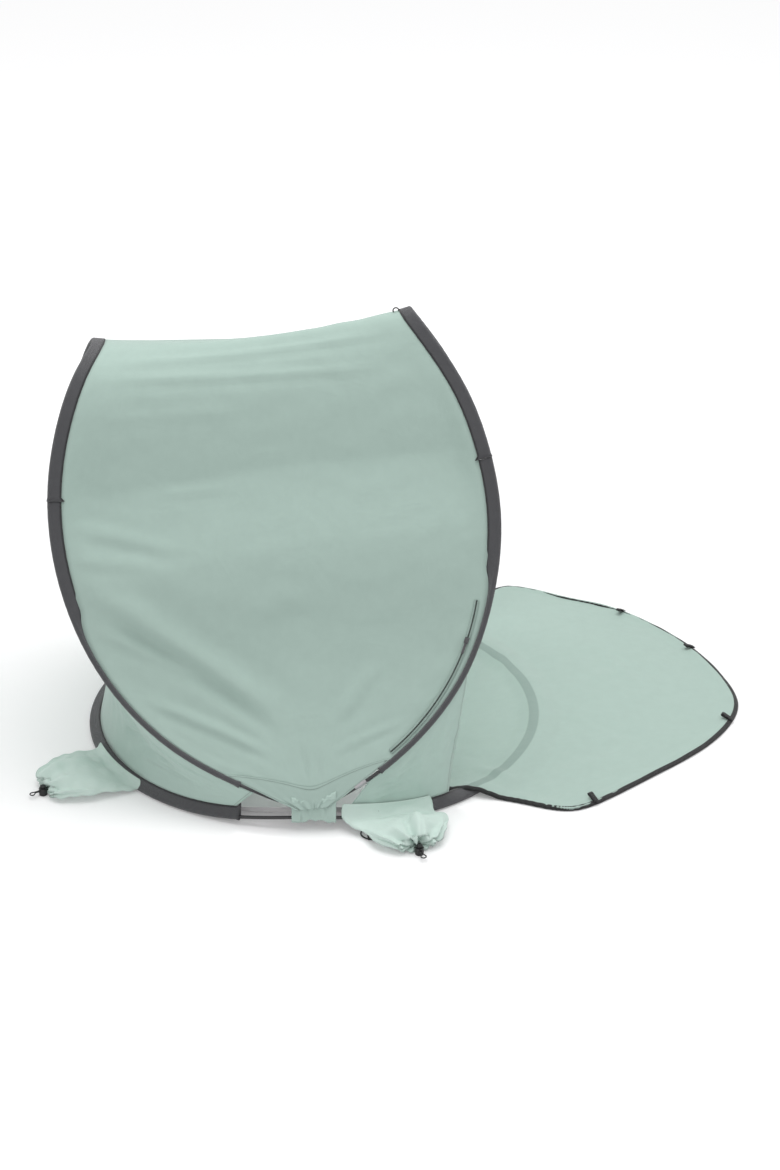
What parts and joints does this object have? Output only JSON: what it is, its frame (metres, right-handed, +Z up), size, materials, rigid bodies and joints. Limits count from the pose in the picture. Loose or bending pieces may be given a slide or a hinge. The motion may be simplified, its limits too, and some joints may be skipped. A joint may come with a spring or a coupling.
{
  "type": "pop-up beach tent",
  "caption": "Pop-up beach tent on crossed spring hoops, with a fold-up porch mat, zips and sand pockets with cord locks.",
  "frame": {"origin": "middle of the floor hoop, on the ground under the floor sheet", "axes": "+X out of the entrance over the porch mat, +Y to the tent's far side, +Z up"},
  "size_m": [1.4892, 1.1625, 0.9318],
  "materials": {
    "groundsheet": "coated woven",
    "cloth": "matte woven",
    "sleeve_cloth": "woven with a soft sheen",
    "black_webbing": "woven",
    "rod": "satin",
    "steel": "brushed",
    "zip_plastic": "satin",
    "lock_plastic": "satin",
    "cord": "braided"
  },
  "bodies": {
    "tent": {"apex_loop": "cord", "canopy": "cloth", "canopy_hoop_ferrule": "steel", "canopy_hoop_rod": "rod", "drawcord_far_front": "cord", "drawcord_far_rear": "cord", "drawcord_near_front": "cord", "drawcord_near_rear": "cord", "floor_hoop_ferrule": "steel", "floor_hoop_rod": "rod", "floor_sheet": "groundsheet", "floor_sleeve_front": "sleeve_cloth", "floor_sleeve_rear": "sleeve_cloth", "front_gusset_far": "cloth", "front_gusset_near": "cloth", "hoop_wrap_far": "cloth", "hoop_wrap_near": "cloth", "peg_cord_far": "cord", "peg_cord_near": "cord", "rear_wall": "cloth", "sand_pocket_far_front": "cloth", "sand_pocket_far_rear": "cloth", "sand_pocket_near_front": "cloth", "sand_pocket_near_rear": "cloth", "sleeve_far_front": "sleeve_cloth", "sleeve_far_rear": "sleeve_cloth", "sleeve_front_top": "sleeve_cloth", "sleeve_near_front": "sleeve_cloth", "sleeve_near_rear": "sleeve_cloth", "sleeve_rear_top": "sleeve_cloth", "tail_tab_far": "cloth", "tail_tab_near": "cloth", "zip_track_far": "zip_plastic", "zip_track_near": "zip_plastic"},
    "porch": {"porch_mat": "cloth", "porch_binding": "black_webbing", "peg_tab_1": "black_webbing", "peg_tab_2": "black_webbing", "peg_tab_3": "black_webbing", "peg_tab_4": "black_webbing"},
    "zip_slider_near": {"zip_slider_near": "steel"},
    "zip_pull_near": {"zip_pull_near": "steel"},
    "zip_slider_far": {"zip_slider_far": "steel"},
    "zip_pull_far": {"zip_pull_far": "steel"},
    "cord_lock_near_front": {"lock_barrel_near_front": "lock_plastic", "lock_spring_near_front": "steel"},
    "lock_button_near_front": {"lock_plunger_near_front": "lock_plastic"},
    "cord_lock_near_rear": {"lock_barrel_near_rear": "lock_plastic", "lock_spring_near_rear": "steel"},
    "lock_button_near_rear": {"lock_plunger_near_rear": "lock_plastic"},
    "cord_lock_far_front": {"lock_barrel_far_front": "lock_plastic", "lock_spring_far_front": "steel"},
    "lock_button_far_front": {"lock_plunger_far_front": "lock_plastic"},
    "cord_lock_far_rear": {"lock_barrel_far_rear": "lock_plastic", "lock_spring_far_rear": "steel"},
    "lock_button_far_rear": {"lock_plunger_far_rear": "lock_plastic"}
  },
  "joints": [
    {"name": "porch_fold", "type": "hinge", "parent": "tent", "child": "porch", "pos_m": [0.275, 0, 0.003], "axis": [0, -1, 0], "range_deg": [0, 50]},
    {"name": "zip_run_near", "type": "hinge", "parent": "tent", "child": "zip_slider_near", "pos_m": [-0.16164, -0.29863, 0.51924], "axis": [-0.1271, 0.915, -0.3829], "range_deg": [-8.48, 29.87]},
    {"name": "pull_swing_near", "type": "hinge", "parent": "zip_slider_near", "child": "zip_pull_near", "pos_m": [0.31077, -0.31401, 0.34209], "axis": [-0.943, 0.2143, 0.2546], "range_deg": [0, 80]},
    {"name": "zip_run_far", "type": "hinge", "parent": "tent", "child": "zip_slider_far", "pos_m": [-0.09111, 0.30545, 0.45654], "axis": [0.1108, 0.9112, 0.3967], "range_deg": [-10.11, 35.68]},
    {"name": "pull_swing_far", "type": "hinge", "parent": "zip_slider_far", "child": "zip_pull_far", "pos_m": [0.30287, 0.31744, 0.33472], "axis": [0.96, 0.1895, -0.206], "range_deg": [0, 80]},
    {"name": "lock_slide_near_front", "type": "slide", "parent": "tent", "child": "cord_lock_near_front", "axis": [0.3225, -0.9466, 0], "range_m": [0, 0.007]},
    {"name": "button_press_near_front", "type": "slide", "parent": "cord_lock_near_front", "child": "lock_button_near_front", "axis": [0, 0, -1], "range_m": [0, 0.002], "stiffness_N_per_m": 300, "springref_m": -0.002, "deforming": ["lock_spring_near_front"]},
    {"name": "lock_slide_near_rear", "type": "slide", "parent": "tent", "child": "cord_lock_near_rear", "axis": [-0.8435, -0.5372, 0], "range_m": [0, 0.007]},
    {"name": "button_press_near_rear", "type": "slide", "parent": "cord_lock_near_rear", "child": "lock_button_near_rear", "axis": [0, 0, -1], "range_m": [0, 0.002], "stiffness_N_per_m": 300, "springref_m": -0.002, "deforming": ["lock_spring_near_rear"]},
    {"name": "lock_slide_far_front", "type": "slide", "parent": "tent", "child": "cord_lock_far_front", "axis": [0.3225, 0.9466, 0], "range_m": [0, 0.007]},
    {"name": "button_press_far_front", "type": "slide", "parent": "cord_lock_far_front", "child": "lock_button_far_front", "axis": [0, 0, -1], "range_m": [0, 0.002], "stiffness_N_per_m": 300, "springref_m": -0.002, "deforming": ["lock_spring_far_front"]},
    {"name": "lock_slide_far_rear", "type": "slide", "parent": "tent", "child": "cord_lock_far_rear", "axis": [-0.7651, 0.6439, 0], "range_m": [0, 0.007]},
    {"name": "button_press_far_rear", "type": "slide", "parent": "cord_lock_far_rear", "child": "lock_button_far_rear", "axis": [0, 0, -1], "range_m": [0, 0.002], "stiffness_N_per_m": 300, "springref_m": -0.002, "deforming": ["lock_spring_far_rear"]}
  ]
}
